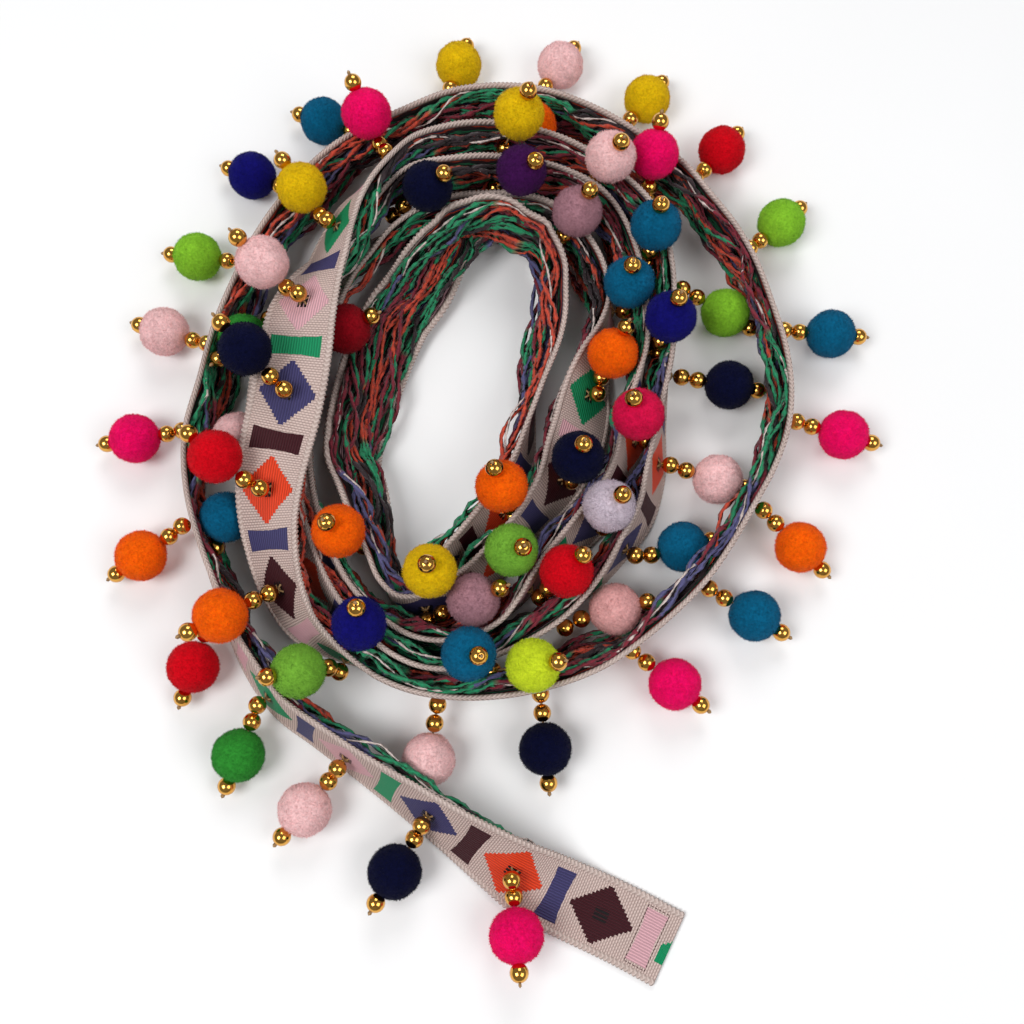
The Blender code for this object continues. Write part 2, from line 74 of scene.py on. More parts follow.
secondTurn = [
    (-44.8, -39.8, -8, 2), (-50.4, -32.0, -28, 6), (-53.4, -22.6, -42, 11),
    (-54.2, -11.8, -56, 17), (-53.3, -0.4, -72, 22), (-51.7, 8.0, -82, 25),
    (-49.7, 17.0, -88, 27), (-47.9, 27.0, -88, 28), (-46.8, 36.6, -86, 28),
    (-46.1, 45.2, -78, 26.5), (-45.1, 53.5, -65, 23), (-43.8, 62.3, -46, 18),
    (-42.3, 71.2, -38, 15.8), (-39.2, 80.8, -30, 15.8), (-33.5, 90.8, -16, 14),
    (-27.4, 98.4, -6, 11.5), (-18.2, 102.8, 0, 10), (-6.5, 104.6, 0, 9),
    (5.5, 103.6, 0, 7.5), (17.2, 100.1, 0, 6), (30.0, 91.8, 0, 4.5),
    (38.0, 84.5, 0, 3), (42.1, 76.5, 0, 2), (44.3, 66.0, 0, 1),
    (44.6, 54.0), (43.6, 40.5, -2), (39.9, 25.3, -10),
    (35.6, 8.3, -20), (33.4, -1.0, -18), (28.1, -12.0, -10),
    (21.8, -22.9), (15.1, -31.0, 12), (9.1, -35.6, 16),
    (-0.1, -40.6, 17), (-8.0, -43.8, 15), (-16.0, -45.6, 12),
    (-23.0, -45.0, 10), (-31.0, -41.5, 5), (-39.0, -34.5),
]
thirdTurn = [
    (-45.6, -25.5, -18, 1.5), (-50.8, -14.5, -38, 4), (-54.6, -3.0, -55, 6),
    (-56.2, 8.0, -62, 7), (-56.4, 20.0, -64, 7.5), (-56.0, 32.0, -64, 7.5),
    (-55.0, 44.0, -62, 7.5), (-53.0, 55.0, -55, 7), (-47.6, 64.2, -46, 6),
    (-43.4, 73.0, -33, 5), (-39.2, 80.4, -25, 5.5), (-34.6, 86.0, -18, 6.5),
    (-28.2, 91.2, -10, 8), (-16.6, 94.2, 0, 8), (-5.0, 95.4, 0, 7),
    (6.7, 94.4, 0, 6), (16.5, 91.6, 0, 5), (24.4, 87.4, 0, 4),
    (29.5, 81.5, 0, 3), (33.0, 74.5, 0, 2), (35.6, 65.5, 0, 1),
    (36.9, 55.0), (36.8, 43.5, -2), (33.7, 33.4, -12),
    (30.4, 25.6, -22), (28.9, 18.0, -26), (27.0, 11.0, -27),
    (23.3, 3.5, -25), (18.5, -2.8, -22), (13.8, -8.8, -18),
    (9.3, -14.6, -12), (5.2, -21.0, -5), (1.6, -27.4, 2),
    (-2.6, -33.0, 8), (-8.6, -36.6, 14), (-17.0, -38.4, 14),
    (-26.0, -37.0, 10), (-33.6, -32.2),
]
fourthTurn = [
    (-40.6, -24.6, -14), (-46.2, -14.6, -32), (-51.0, -3.5, -50),
    (-54.0, 8.0, -60), (-54.8, 20.0, -62), (-54.2, 32.0, -62),
    (-52.8, 44.0, -62), (-49.4, 54.0, -58), (-45.0, 63.4, -50),
    (-38.8, 70.8, -36), (-33.4, 77.0, -24, 0.5), (-26.8, 82.2, -10, 0.5),
    (-19.0, 86.6, 6), (-8.0, 88.6, 18), (3.0, 88.4, 20),
    (11.4, 85.4, 17), (17.9, 79.6, 12), (22.8, 72.6, 5),
    (26.0, 64.0), (26.4, 56.0, -8), (23.6, 49.0, -18),
    (19.0, 42.8, -30, 0.5), (15.2, 36.0, -42, 1.5), (12.7, 28.6, -50, 2.5),
    (10.8, 21.8, -52, 3), (8.9, 15.4, -48, 3), (7.6, 9.6, -40, 2.5),
    (5.7, 3.9, -30, 2), (3.2, -1.0, -22, 1), (0.4, -5.3, -18, 0.5),
    (-2.9, -9.4, -18), (-7.5, -14.2, -20), (-12.6, -18.9, -25),
    (-17.9, -22.8, -20), (-24.0, -26.2, -12), (-29.8, -26.4, -5),
    (-34.4, -22.4, 2),
]
innerTurn = [
    (-38.2, -15.4, 15), (-42.6, -6.6, 28), (-46.8, 3.2, 38),
    (-50.6, 12.0, 43), (-50.9, 20.0, 47), (-50.3, 27.5, 53),
    (-49.2, 35.0, 59, 0.5), (-47.6, 42.5, 65, 1.5), (-45.0, 51.0, 70, 2.5),
    (-40.6, 61.0, 72, 3), (-34.2, 68.8, 66, 3), (-28.4, 74.6, 50, 3),
    (-22.6, 79.0, 34, 3.5), (-17.2, 82.2, 20, 4.5), (-12.0, 83.0, 10, 5.3),
    (-6.3, 83.8, 7, 6), (-0.6, 82.7, 8, 6), (4.5, 79.4, 10, 5.3),
    (9.2, 77.1, 14, 4.6), (12.5, 72.2, 18, 4), (14.8, 66.0, 20, 3),
    (15.2, 58.7, 22, 2), (14.9, 51.5, 22, 1), (12.8, 42.5, 18),
    (8.6, 32.1, 8), (4.2, 21.0, -6), (0.3, 11.6, -18),
    (-3.8, 4.9, -28), (-8.4, -1.6, -30), (-13.1, -7.6, -26),
    (-17.8, -13.3, -16), (-22.0, -18.6, -4), (-25.8, -20.6, 2),
    (-30.2, -20.9, 5),
]
route = outerEnd + firstTurn + secondTurn + thirdTurn + fourthTurn + innerTurn

# A drop's felt, its heading in plan and its climb; none where the diamond is pressed flat between turns.
firstTurnDrops = [
    ("hotPink", -85, 25), ("darkNavy", -121, 15), ("palePink", -130, 10), ("green", -112, 0),
    ("red", -110, 0), ("orange", -147, 0), ("hotPink", -174, 0), ("palePink", 160, 0),
    ("lime", 168, 0), ("navyBlue", 155, 0), ("teal", 155, 0), ("yellow", 75, 0),
    ("palePink", 60, 0), ("yellow", 55, 0), ("red", 52, 0), ("lime", 43, 0),
    ("teal", 0, 0), ("hotPink", -12, 0), ("orange", -44, 0), ("teal", -30, 0),
    ("hotPink", -38, 0), ("darkNavy", -85, 0), ("palePink", -99, 0), ("grassGreen", -165, 40),
]
secondTurnDrops = [
    ("orange", -147, 25), ("red", 142, 20), ("darkNavy", 135, 25), ("palePink", 142, 40),
    ("yellow", 127, 25), ("hotPink", 119, 40), None, ("orange", 150, 20),
    ("hotPink", 80, 40), ("lime", -25, -10), ("darkNavy", -5, -5), ("palePink", -13, -5),
    ("teal", 10, -5), ("dustyPink", 12, 15), ("limeYellow", 10, 45),
]
thirdTurnDrops = [
    ("navyBlue", 88, 60), None, ("teal", -115, 10), ("palePink", -115, 10),
    ("green", -140, 5), None, None, ("yellow", 77, 50),
    ("palePink", 50, 60), ("teal", 80, 45), ("navyBlue", 38, 60), ("crimson", 0, 65),
    ("lilacWhite", -5, 35), ("red", 20, 20), ("teal", 34, 60),
]
fourthTurnDrops = [
    None, None, None, ("darkRed", 20, 15),
    None, ("darkNavy", 45, 65), ("purple", 45, 70), None,
    ("teal", 105, 55), ("orange", 60, 45), ("darkNavy", 60, 80), ("grassGreen", -20, 55),
    ("mauve", 19, 10), ("orange", -170, 60),
]
innerTurnDrops = [
    None, None, None, None,
    ("mauve", 60, 45), None, None, ("orange", 115, 35),
    ("yellow", 140, 60),
]
drops = firstTurnDrops + secondTurnDrops + thirdTurnDrops + fourthTurnDrops + innerTurnDrops

tapeSizes = SimpleNamespace(
    width=20.0,
    thickness=1.1,
    pitch=25.8,
    firstDiamond=19.2,
    sectionsPerPitch=5,
    rowsPerPitch=20,
    columns=14,
    clothHalf=0.42,
    clothNarrower=1.6,
)
dropSizes = SimpleNamespace(
    ballRadius=7.2,
    beadRadius=2.4,
    endBeadSunk=0.9,
    firstBeadOut=3.8,
    beadToBead=4.9,
    beadToBall=9.3,
    clearance=0.4,
    threadBulk=1.3,
    dropsPerStrip=2,
)
dropSizes.ballToEnd = dropSizes.ballRadius + dropSizes.beadRadius - dropSizes.endBeadSunk
settling = SimpleNamespace(
    aimedRounds=80,
    movingRounds=200,
    linkedRounds=360,
    allRounds=372,
    linkRepeats=4,
    aimPull=0.06,
    fall=0.06,
    startsAsAimed=math.radians(15.5),
    endBeadPlay=0.4,
    endBeadTilts=(12.0, 24.0),
)
# a drop's two beads, its ball and its end bead
chainRadii = np.full(4, dropSizes.beadRadius)
chainRadii[2] = dropSizes.ballRadius


def unit(vectors):
    return vectors / np.linalg.norm(vectors, axis=-1, keepdims=True)


def smoothRoute():
    rows = np.array([(*row, 0, 0)[:4] for row in route], dtype=float)
    knots = np.concatenate([[0.0], np.cumsum(np.linalg.norm(np.diff(rows[:, :2], axis=0), axis=1))])
    slopes = np.gradient(rows, knots, axis=0)
    places = np.arange(0.0, knots[-1], 0.5)
    row = np.clip(np.searchsorted(knots, places, side="right") - 1, 0, len(knots) - 2)
    span = (knots[row + 1] - knots[row])[:, None]
    u = (places[:, None] - knots[row][:, None]) / span
    start = rows[row] * (1 + 2 * u) * (1 - u) ** 2 + rows[row + 1] * u**2 * (3 - 2 * u)
    bend = slopes[row] * span * u * (1 - u) ** 2 - slopes[row + 1] * span * u**2 * (1 - u)
    return start + bend


def tapeFrames():
    curve = smoothRoute()
    lean = np.radians(np.clip(curve[:, 2], -90.0, 90.0))
    lift = np.maximum(curve[:, 3], 0.0)
    planRun = unit(np.gradient(curve[:, :2], axis=0))
    inward = np.column_stack([planRun[:, 1], -planRun[:, 0], np.zeros(len(curve))])
    across = np.sin(lean)[:, None] * inward + np.cos(lean)[:, None] * np.array([0.0, 0.0, -1.0])
    low = lift + np.abs(np.sin(lean)) * tapeSizes.thickness / 2
    top = np.column_stack([curve[:, :2], low + tapeSizes.width * np.cos(lean)])
    centre = top + across * tapeSizes.width / 2
    run = unit(np.gradient(centre, axis=0))
    across = unit(across - np.sum(across * run, axis=1)[:, None] * run)
    return centre, run, across


middleLine = tapeFrames()
middleSteps = np.linalg.norm(np.diff(middleLine[0], axis=0), axis=1)
lengthsAlong = np.concatenate([[0.0], np.cumsum(middleSteps)])


def sectionsAt(places):
    # The tape's middle, its way across to the lower edge and its front, at these lengths from the outer end.
    centre, run, across = (
        np.column_stack([np.interp(places, lengthsAlong, values[:, i]) for i in range(3)])
        for values in middleLine
    )
    across = unit(across)
    return centre, across, unit(np.cross(unit(run), across))


stationStep = tapeSizes.pitch / tapeSizes.sectionsPerPitch
stationPlaces = np.arange(tapeSizes.firstDiamond % stationStep, lengthsAlong[-1], stationStep)
stationPlaces = np.concatenate([[0.0], stationPlaces])
tapeLength = stationPlaces[-1]
stationCentres, stationWays, stationFronts = sectionsAt(stationPlaces)


def dropStation(number):
    return 1 + int(tapeSizes.firstDiamond // stationStep) + tapeSizes.sectionsPerPitch * (number + 1)


def clearTape(flat, ends, shares, radius, surface):
    need = radius + tapeSizes.thickness / 2 + dropSizes.clearance
    place = shares @ flat[ends]
    for nearest, normal, face, gap in surface.find_nearest_range(Vector(place), need):
        away = place - np.array(nearest)
        near = np.linalg.norm(away)
        if 0.0 < near < need:
            flat[ends] += away / near * (need - near)
            place = shares @ flat[ends]


def settleDrops(roots, ways, fronts, aims, surface):
    # Turns each drop to its aim and lets it sink until it rests, clear of tape, floor and neighbours.
    beadToBead, beadToBall, ballToEnd = dropSizes.beadToBead, dropSizes.beadToBall, dropSizes.ballToEnd
    count = len(roots)
    heading, climb = np.radians(np.array(aims, dtype=float)).T
    aim = np.column_stack([np.cos(heading) * np.cos(climb), np.sin(heading) * np.cos(climb), np.sin(climb)])
    reach = np.cumsum([0.0, beadToBead, beadToBall, ballToEnd])
    first = roots + fronts * dropSizes.firstBeadOut
    aimed = first[:, None, :] + reach[None, :, None] * aim[:, None, :]
    start = np.where(climb[:, None] < settling.startsAsAimed, aim, -ways)
    points = first[:, None, :] + reach[None, :, None] * start[:, None, :]
    radii = np.tile(chainRadii, count)
    owner = np.repeat(np.arange(count), 4)
    least = radii[:, None] + radii[None, :] + dropSizes.clearance
    strangers = np.triu(owner[:, None] != owner[None, :], 1)
    links = [(0, 1, beadToBead), (1, 2, beadToBall), (2, 3, ballToEnd), (1, 3, beadToBall + ballToEnd)]
    joins = np.array([[0.5, 0.5], [0.75, 0.25]])
    for turn in range(settling.allRounds):
        if turn < settling.movingRounds:
            pull = settling.aimPull * (aimed - points)
            if turn >= settling.aimedRounds:
                pull[:, :, 2] = -settling.fall
            points += pull
        for repeat in range(settling.linkRepeats if turn < settling.linkedRounds else 0):
            for a, b, length in links:
                way = points[:, b] - points[:, a]
                far = np.linalg.norm(way, axis=1, keepdims=True)
                step = way / far * (far - length) / 2
                points[:, b] -= step
                points[:, a] += step
            points[:, 0] = first
        flat = points.reshape(-1, 3)
        gaps = np.linalg.norm(flat[:, None, :] - flat[None, :, :], axis=2)
        for a, b in np.argwhere(strangers & (gaps < least)):
            push = (flat[a] - flat[b]) / gaps[a, b] * (least[a, b] - gaps[a, b]) / 2
            flat[a] += push
            flat[b] -= push
        for i in range(len(flat)):
            if i % 4 == 0:
                continue
            if i % 4 < 3:
                clearTape(flat, [i - 1, i], joins[i % 4 - 1], dropSizes.threadBulk, surface)
            clearTape(flat, [i], np.ones(1), radii[i], surface)
        flat[:, 2] = np.maximum(flat[:, 2], radii)
        points = flat.reshape(count, 4, 3)
        points[:, 0] = first
    seatEndBeads(points, surface)
    return points


def seatEndBeads(points, surface):
    # Puts an end bead that was pushed into its ball back beyond it, where it has room.
    out = dropSizes.ballToEnd
    for i, (first, second, ball, end) in enumerate(points):
        if np.linalg.norm(end - ball) > out - settling.endBeadPlay:
            continue
        run = unit(ball - second)
        side = unit(np.cross(run, (1.0, 0.0, 0.0)))
        other = np.cross(run, side)
        places = [ball + run * out]
        for tilt in map(math.radians, settling.endBeadTilts):
            for k in range(8):
                turn = math.pi * k / 4
                away = math.cos(turn) * side + math.sin(turn) * other
                places.append(ball + out * (math.sin(tilt) * away + math.cos(tilt) * run))
        points[i, 3] = ball
        free = [place for place in places if hasRoom(place, i, points, surface)]
        if free:
            points[i, 3] = free[0]


def hasRoom(place, own, points, surface):
    reach = dropSizes.beadRadius + dropSizes.clearance
    tapeGap = surface.find_nearest(Vector(place))[3]
    if place[2] < dropSizes.beadRadius or tapeGap < reach + tapeSizes.thickness / 2:
        return False
    others = np.delete(points, own, axis=0)
    threadMiddles = (others[:, 1] + others[:, 2]) / 2
    gaps = np.linalg.norm(others - place, axis=2) - chainRadii
    threadGaps = np.linalg.norm(threadMiddles - place, axis=1) - dropSizes.threadBulk
    return min(gaps.min(), threadGaps.min()) > reach


def tapeSurface():
    half = stationWays * tapeSizes.width / 2
    count = len(stationCentres)
    grid = np.concatenate([stationCentres - half, stationCentres, stationCentres + half])
    cells = [
        (row + i, row + i + 1, row + count + i + 1, row + count + i)
        for row in (0, count)
        for i in range(count - 1)
    ]
    return [Vector(v) for v in grid], cells


surfaceVerts, surfaceCells = tapeSurface()
built = [i for i, row in enumerate(drops) if row and dropStation(i) < len(stationCentres) - 1]
stations = [dropStation(i) for i in built]
settled = settleDrops(
    stationCentres[stations],
    stationWays[stations],
    stationFronts[stations],
    [drops[i][1:] for i in built],
    BVHTree.FromPolygons(surfaceVerts, surfaceCells),
)
print("drops settled", len(built))

# The route's own zero is moved to the model's, so that the tape's corners meet its node's.
corners = np.concatenate(
    [
        stationCentres + a * stationWays * tapeSizes.width / 2 + b * stationFronts * tapeSizes.thickness / 2
        for a in (-1, 1)
        for b in (-1, 1)
    ]
)
shift = corners.min(axis=0) - np.array(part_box("tape")[0]) / millimetre
offBy = corners.max(axis=0) - shift - np.array(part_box("tape")[1]) / millimetre
print("tape against its node, mm off", [round(float(v), 3) for v in offBy])


def newObject(name, verts, faces, material):
    # Verts are in the route's millimetres.
    mesh = bpy.data.meshes.new(name)
    mesh.from_pydata([tuple((np.asarray(v) - shift) * millimetre) for v in verts], [], faces)
    mesh.materials.append(material)
    made = bpy.data.objects.new(name, mesh)
    bpy.context.scene.collection.objects.link(made)
    return made


def ringFaces(start, rings, sides):
    # The sides of a tube, from ring to ring of its points.
    faces = []
    for ring in range(start, start + (rings - 1) * sides, sides):
        for k in range(sides):
            a, b = ring + k, ring + (k + 1) % sides
            faces.append((a, b, b + sides, a + sides))
    return faces


def smoothShade(piece):
    piece.data.polygons.foreach_set("use_smooth", [True] * len(piece.data.polygons))
    piece.data.update()


def newGroup(name, inputs, outputs):
    group = bpy.data.node_groups.new(name, "ShaderNodeTree")
    for label, kind, value in inputs:
        socket = group.interface.new_socket(label, in_out="INPUT", socket_type=kind)
        socket.default_value = value
    for label, kind in outputs:
        group.interface.new_socket(label, in_out="OUTPUT", socket_type=kind)
    return group, group.nodes.new("NodeGroupInput").outputs, group.nodes.new("NodeGroupOutput").inputs


def mathNode(tree, operation, *values):
    node = tree.nodes.new("ShaderNodeMath")
    node.operation = operation
    for socket, value in zip(node.inputs, values):
        if isinstance(value, (int, float)):
            socket.default_value = value
        else:
            tree.links.new(value, socket)
    return node.outputs[0]


def mixColour(tree, share, a, b):
    node = tree.nodes.new("ShaderNodeMix")
    node.data_type = "RGBA"
    for socket, value in ((node.inputs[0], share), (node.inputs[6], a), (node.inputs[7], b)):
        if isinstance(value, tuple):
            socket.default_value = (*value, 1.0)
        else:
            tree.links.new(value, socket)
    return node.outputs[2]


def scaleColour(tree, colour, factor):
    node = tree.nodes.new("ShaderNodeVectorMath")
    node.operation = "SCALE"
    tree.links.new(colour, node.inputs[0])
    tree.links.new(factor, node.inputs["Scale"])
    return node.outputs[0]


def objectNoise(tree, scale, detail=2.0):
    # Noise on Object coordinates; the scale is spots to a metre.
    coords = tree.nodes.new("ShaderNodeTexCoord")
    node = tree.nodes.new("ShaderNodeTexNoise")
    node.inputs["Scale"].default_value = scale
    node.inputs["Detail"].default_value = detail
    tree.links.new(coords.outputs["Object"], node.inputs["Vector"])
    return node.outputs["Fac"]


def steppedRamp(tree, value, colours):
    # One flat colour for each equal share of 0 to 1.
    node = tree.nodes.new("ShaderNodeValToRGB")
    node.color_ramp.interpolation = "CONSTANT"
    stops = node.color_ramp.elements
    while len(stops) < len(colours):
        stops.new(0.5)
    for i, colour in enumerate(colours):
        stops[i].position = i / len(colours)
        stops[i].color = (*colour, 1.0)
    tree.links.new(value, node.inputs[0])
    return node.outputs[0]


def linear(*screenValues):
    # A colour read as 0 to 255, turned into the shader's linear values.
    return tuple(
        v / 255 / 12.92 if v <= 10 else ((v / 255 + 0.055) / 1.055) ** 2.4 for v in screenValues
    )


def buildFeltPile():
    # Felt: fine mottled fibre on Object coordinates.
    group, entry, leave = newGroup(
        "feltPile",
        [
            ("Colour", "NodeSocketColor", (0.8, 0.1, 0.3, 1.0)),
            ("Mottle", "NodeSocketFloat", 0.35),
            ("Fibres Per Metre", "NodeSocketFloat", 1500.0),
        ],
        [("Colour", "NodeSocketColor"), ("Height", "NodeSocketFloat"), ("Roughness", "NodeSocketFloat")],
    )
    sums = partial(mathNode, group)
    fine = objectNoise(group, 1500.0, 4.0)
    fine.node.inputs["Distortion"].default_value = 0.6
    group.links.new(entry["Fibres Per Metre"], fine.node.inputs["Scale"])
    patches = objectNoise(group, 220.0)
    both = sums("ADD", sums("MULTIPLY", fine, 0.7), sums("MULTIPLY", patches, 0.3))
    spread = sums("MULTIPLY", sums("SUBTRACT", both, 0.5), entry["Mottle"])
    lighter = sums("ADD", 1.0, sums("MULTIPLY", spread, 4.0))
    group.links.new(scaleColour(group, entry["Colour"], lighter), leave["Colour"])
    group.links.new(both, leave["Height"])
    group.links.new(sums("ADD", 0.85, sums("MULTIPLY", patches, 0.15)), leave["Roughness"])
    return group


feltPile = buildFeltPile()


def newMaterial(name, colour, roughness):
    material = bpy.data.materials.new(name)
    material.use_nodes = True
    shader = material.node_tree.nodes["Principled BSDF"]
    shader.inputs["Base Color"].default_value = (*colour, 1.0)
    shader.inputs["Roughness"].default_value = roughness
    return material, material.node_tree, shader


def addBump(tree, shader, height, distance):
    bump = tree.nodes.new("ShaderNodeBump")
    bump.inputs["Distance"].default_value = distance
    bump.inputs["Strength"].default_value = 1.0
    tree.links.new(height, bump.inputs["Height"])
    tree.links.new(bump.outputs["Normal"], shader.inputs["Normal"])


feltColours = {
    "hotPink": linear(232, 8, 96),
    "orange": linear(238, 96, 4),
    "yellow": linear(218, 180, 12),
    "lime": linear(132, 190, 48),
    "limeYellow": linear(196, 214, 40),
    "green": linear(48, 138, 48),
    "grassGreen": linear(112, 166, 54),
    "teal": linear(8, 92, 128),
    "navyBlue": linear(18, 16, 104),
    "darkNavy": linear(8, 11, 42),
    "red": linear(204, 6, 24),
    "crimson": linear(212, 18, 72),
    "darkRed": linear(140, 10, 24),
    "palePink": linear(236, 192, 192),
    "dustyPink": linear(216, 160, 158),
    "mauve": linear(160, 116, 126),
    "lilacWhite": linear(196, 182, 194),
    "purple": linear(62, 18, 74),
}


def feltMaterial(name):
    material, tree, shader = newMaterial("felt_" + name, feltColours[name], 0.95)
    pile = tree.nodes.new("ShaderNodeGroup")
    pile.node_tree = feltPile
    pile.inputs["Colour"].default_value = (*feltColours[name], 1.0)
    pile.inputs["Mottle"].default_value = 0.3
    tree.links.new(pile.outputs["Colour"], shader.inputs["Base Color"])
    tree.links.new(pile.outputs["Roughness"], shader.inputs["Roughness"])
    addBump(tree, shader, pile.outputs["Height"], 0.00025)
    shader.inputs["Sheen Weight"].default_value = 0.04
    shader.inputs["Sheen Roughness"].default_value = 0.5
    shader.inputs["Specular IOR Level"].default_value = 0.05
    return material


def goldMaterial():
    material, tree, shader = newMaterial("polished_gold", linear(232, 172, 84), 0.1)
    shader.inputs["Metallic"].default_value = 1.0
    rub = objectNoise(tree, 500.0, 3.0)
    rough = mathNode(tree, "ADD", 0.07, mathNode(tree, "MULTIPLY", rub, 0.14))
    tree.links.new(rough, shader.inputs["Roughness"])
    tone = mixColour(tree, rub, linear(204, 136, 50), linear(240, 188, 96))
    tree.links.new(tone, shader.inputs["Base Color"])
    addBump(tree, shader, objectNoise(tree, 1400.0), 0.00001)
    return material


def threadMaterial():
    material, tree, shader = newMaterial("bead_thread", linear(150, 110, 60), 0.7)
    twist = objectNoise(tree, 2500.0)
    tone = mixColour(tree, twist, linear(96, 70, 40), linear(200, 160, 110))
    tree.links.new(tone, shader.inputs["Base Color"])
    addBump(tree, shader, twist, 0.0001)
    return material


weave = {
    "ground": linear(216, 194, 186),
    "groundShade": linear(138, 114, 108),
    "maroon": linear(58, 10, 20),
    "orange": linear(218, 62, 26),
    "slate": linear(62, 58, 102),
    "pink": linear(212, 164, 172),
    "green": linear(14, 136, 88),
    "black": linear(20, 14, 16),
    "repeat": 5.0,
    "diamondLength": 8.6,
    "diamondWidth": 7.4,
    "diamondStep": 0.74,
    "barLength": 2.45,
    "barWidth": 6.9,
    "coreLength": 1.9,
    "coreWidth": 1.6,
    "coreLines": 1.05,
    "stitchLength": 0.66,
    "stitchWidth": 0.95,
    "satinWidth": 0.7,
    "hemOut": 2.9,
    "hemHalf": 7.5,
    "hemLine": 0.11,
    "hemEnd": 0.1,
    "hemDash": 1.1,
}


def buildTapePattern():
    # U runs across the tape from its upper edge, and V along it with a diamond at each whole number.
    group, entry, leave = newGroup(
        "tapePattern",
        [
            ("U", "NodeSocketFloat", 0.0),
            ("V", "NodeSocketFloat", 0.0),
            ("Ground", "NodeSocketColor", (*weave["ground"], 1.0)),
            ("Ground Shade", "NodeSocketColor", (*weave["groundShade"], 1.0)),
        ],
        [("Colour", "NodeSocketColor"), ("Height", "NodeSocketFloat"), ("Pattern", "NodeSocketFloat")],
    )
    sums = partial(mathNode, group)
    times, minus, size, below = (
        partial(sums, operation) for operation in ("MULTIPLY", "SUBTRACT", "ABSOLUTE", "LESS_THAN")
    )

    def inside(along, length, off, width):
        return times(below(along, length), below(off, width))

    def lines(value, width):
        return sums("SINE", times(value, 2 * math.pi / width))

    def share(number, first):
        return sums("FRACT", sums("DIVIDE", sums("ADD", number, first), weave["repeat"]))

    pitch, diamondStep = tapeSizes.pitch, weave["diamondStep"]
    v = entry["V"]
    ragged = minus(objectNoise(group, 700.0), 0.5)
    side = times(minus(entry["U"], 0.5), tapeSizes.width)
    off = size(side)
    nearest = sums("FLOOR", sums("ADD", v, 0.5))
    along = times(size(minus(v, nearest)), pitch)
    step = times(sums("FLOOR", sums("DIVIDE", off, diamondStep)), diamondStep)
    slope = minus(1.0, sums("DIVIDE", step, weave["diamondWidth"]))
    reach = sums("MULTIPLY_ADD", slope, weave["diamondLength"], times(ragged, 0.7))
    diamond = inside(along, reach, off, weave["diamondWidth"])
    core = inside(along, weave["coreLength"], off, weave["coreWidth"])
    core = times(core, sums("GREATER_THAN", lines(side, weave["coreLines"]), -0.55))
    barIndex = sums("FLOOR", v)
    fromBar = size(minus(minus(v, barIndex), 0.5))
    flare = times(sums("POWER", sums("DIVIDE", off, weave["barWidth"]), 2.0), 0.5)
    barReach = sums("ADD", sums("ADD", flare, weave["barLength"]), times(ragged, 0.5))
    bar = inside(times(fromBar, pitch), barReach, off, weave["barWidth"])
    # five diamonds and five bars make one repeat of the pattern
    diamondYarns = [weave[c] for c in ("maroon", "orange", "slate", "pink", "green")]
    barYarns = [weave[c] for c in ("pink", "slate", "maroon", "green", "slate")]
    diamondColour = steppedRamp(group, share(nearest, 0.5), diamondYarns)
    barColour = steppedRamp(group, share(barIndex, 1.5), barYarns)
    # ground: rows of short stitches across the tape, each row half a stitch on from the last
    pick = times(v, pitch / weave["stitchLength"])
    offset = times(sums("FLOOR", pick), 0.5)
    ribs = size(lines(sums("MULTIPLY_ADD", side, 1 / weave["stitchWidth"], offset), 2.0))
    picks = size(lines(pick, 2.0))
    cloth = times(picks, sums("MULTIPLY_ADD", ribs, 0.65, 0.35))
    shade = sums("MULTIPLY_ADD", cloth, 0.95, times(objectNoise(group, 90.0), 0.3))
    ground = mixColour(group, shade, entry["Ground Shade"], entry["Ground"])
    # satin threads of the motifs run along the tape, with painted shade at their sides and painted highlight
    # on their crowns
    satinAt = times(side, 2 * math.pi / weave["satinWidth"])
    satin = sums("SINE", sums("ADD", satinAt, times(ragged, 3.0)))
    motif = mixColour(group, diamond, barColour, diamondColour)
    motif = mixColour(group, core, motif, weave["black"])
    # painted shade and highlight: the satin wave darkens and lightens the motif colour across each thread
    motif = scaleColour(group, motif, sums("MULTIPLY_ADD", satin, 0.22, 0.95))
    pattern = sums("MAXIMUM", diamond, bar)
    colour = mixColour(group, pattern, ground, motif)
    # the hem's dark stitches frame the bar beside the cut end
    fromHem = size(times(sums("ADD", v, 0.5), pitch))
    fromHem = minus(fromHem, weave["hemOut"])
    fromHemEnd = size(minus(off, weave["hemHalf"]))
    hemWidth = weave["hemHalf"] + weave["hemEnd"]
    hemLine = inside(size(fromHem), weave["hemLine"], off, hemWidth)
    hemEnds = inside(fromHemEnd, weave["hemEnd"], fromHem, 0.0)
    dashes = lines(sums("ADD", side, times(v, pitch)), weave["hemDash"])
    hem = times(sums("MAXIMUM", hemLine, hemEnds), sums("GREATER_THAN", dashes, -0.5))
    hem = times(hem, below(v, -0.3))
    colour = mixColour(group, hem, colour, weave["maroon"])
    # the green motif that the cut runs through
    cutMotif = inside(v, -0.655, size(minus(side, 2.0)), 2.2)
    colour = mixColour(group, cutMotif, colour, weave["green"])
    relief = times(cloth, 0.45), sums("MULTIPLY_ADD", satin, 0.2, 0.8)
    group.links.new(colour, leave["Colour"])
    group.links.new(mixColour(group, pattern, *relief), leave["Height"])
    group.links.new(pattern, leave["Pattern"])
    return group


tapePattern = buildTapePattern()


def tapeCoords(tree):
    uvMap = tree.nodes.new("ShaderNodeUVMap")
    uvMap.uv_map = "alongTape"
    split = tree.nodes.new("ShaderNodeSeparateXYZ")
    tree.links.new(uvMap.outputs["UV"], split.inputs[0])
    return split.outputs["X"], split.outputs["Y"]


